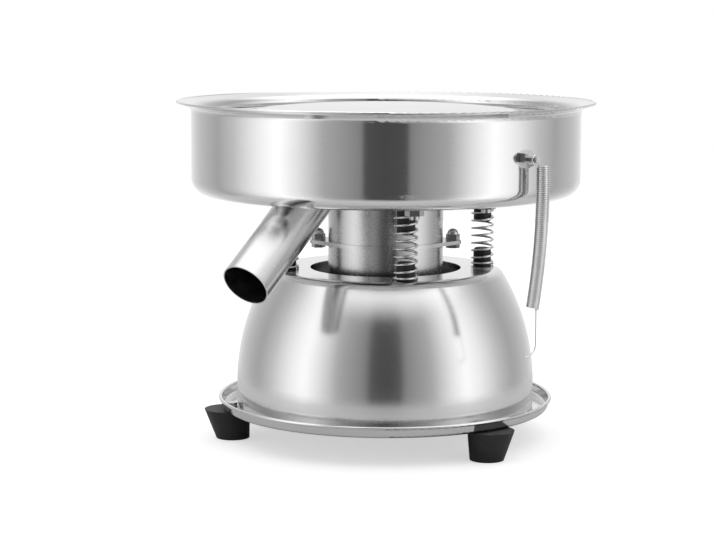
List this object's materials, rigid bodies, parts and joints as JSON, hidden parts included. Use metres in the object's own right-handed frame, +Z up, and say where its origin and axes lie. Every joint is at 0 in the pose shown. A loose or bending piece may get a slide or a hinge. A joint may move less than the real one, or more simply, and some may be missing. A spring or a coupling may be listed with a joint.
{
  "type": "vibrating sieve",
  "caption": "Tabletop vibrating sieve: lidded round pan on coil springs over a domed motor base on rubber feet, with a sloping discharge chute.",
  "frame": {"origin": "on the floor, on the vertical axis of the round pan and base", "axes": "+Z up, -Y the front, where the chute points down to the left and the hanging spring is on the right, +X to the right"},
  "size_m": [0.34, 0.34, 0.275],
  "materials": {
    "spun_stainless": "satin spun sheet",
    "motor_stainless": "satin deep-drawn sheet",
    "zinc_fasteners": "bright zinc",
    "black_rubber": "matt moulded rubber",
    "spring_wire": "bright drawn wire",
    "capacitor_case": "plain moulded case",
    "core_steel": "laminated sheet steel",
    "enamelled_copper": "enamelled wire",
    "cast_parts": "machined casting",
    "bearing_steel": "ground",
    "wire_cloth": "woven stainless wire"
  },
  "bodies": {
    "base": {"base_tray": "spun_stainless", "base_dome": "spun_stainless", "cord_grommet": "black_rubber", "capacitor": "capacitor_case", "capacitor_clip": "motor_stainless", "capacitor_screw": "zinc_fasteners", "dome_screws": "zinc_fasteners", "dome_nuts": "zinc_fasteners", "foot_screws": "zinc_fasteners", "foot_nuts": "zinc_fasteners", "lower_plug_studs": "zinc_fasteners", "lower_plug_nuts": "zinc_fasteners", "rubber_foot_1": "black_rubber", "rubber_foot_2": "black_rubber", "rubber_foot_3": "black_rubber", "lower_plug_1": "black_rubber", "lower_plug_2": "black_rubber", "lower_plug_3": "black_rubber", "lower_plug_4": "black_rubber", "support_spring_1": "spring_wire", "support_spring_2": "spring_wire", "support_spring_3": "spring_wire", "support_spring_4": "spring_wire"},
    "pan": {"sieve_pan": "spun_stainless", "discharge_chute": "spun_stainless", "upper_plug_studs": "zinc_fasteners", "upper_plug_nuts": "zinc_fasteners", "floor_bolts": "zinc_fasteners", "floor_washers": "zinc_fasteners", "floor_nuts": "zinc_fasteners", "wall_studs": "zinc_fasteners", "wall_stud_nuts": "zinc_fasteners", "motor_upper_shell": "motor_stainless", "motor_lower_shell": "motor_stainless", "motor_screws": "zinc_fasteners", "motor_nuts": "zinc_fasteners", "ear_bolts": "zinc_fasteners", "ear_cap_nuts": "zinc_fasteners", "stator_core": "core_steel", "upper_winding": "enamelled_copper", "lower_winding": "enamelled_copper", "upper_end_bracket": "cast_parts", "lower_end_bracket": "cast_parts", "upper_bearing": "bearing_steel", "lower_bearing": "bearing_steel", "upper_plug_1": "black_rubber", "upper_plug_2": "black_rubber", "upper_plug_3": "black_rubber", "upper_plug_4": "black_rubber"},
    "rotor": {"rotor_shaft": "bearing_steel", "rotor_core": "core_steel", "upper_eccentric_weight": "cast_parts", "lower_eccentric_weight": "cast_parts", "weight_screws": "zinc_fasteners"},
    "sieve": {"sieve_hoop": "spun_stainless", "sieve_mesh": "wire_cloth", "mesh_clamp_ring": "spun_stainless"},
    "lid": {"sieve_lid": "spun_stainless"},
    "hanging_spring": {"hold_down_spring": "spring_wire"}
  },
  "joints": [
    {"name": "pan_bounce", "type": "slide", "parent": "base", "child": "pan", "axis": [0, 0, 1], "range_m": [-0.004, 0.004], "stiffness_N_per_m": 10700, "springref_m": 0.0056, "deforming": ["support_spring_1", "support_spring_2", "support_spring_3", "support_spring_4"]},
    {"name": "rotor_spin", "type": "hinge", "parent": "pan", "child": "rotor", "pos_m": [0, 0, 0.145], "axis": [0, 0, 1], "continuous": true},
    {"name": "sieve_lift", "type": "slide", "parent": "pan", "child": "sieve", "axis": [0, 0, 1], "range_m": [0, 0.09]},
    {"name": "lid_lift", "type": "slide", "parent": "sieve", "child": "lid", "axis": [0, 0, 1], "range_m": [0, 0.06]},
    {"name": "hanging_spring_swing", "type": "hinge", "parent": "pan", "child": "hanging_spring", "pos_m": [0.11275, -0.12522, 0.237], "axis": [0.6691, -0.7431, 0], "range_deg": [-70, 70]}
  ]
}
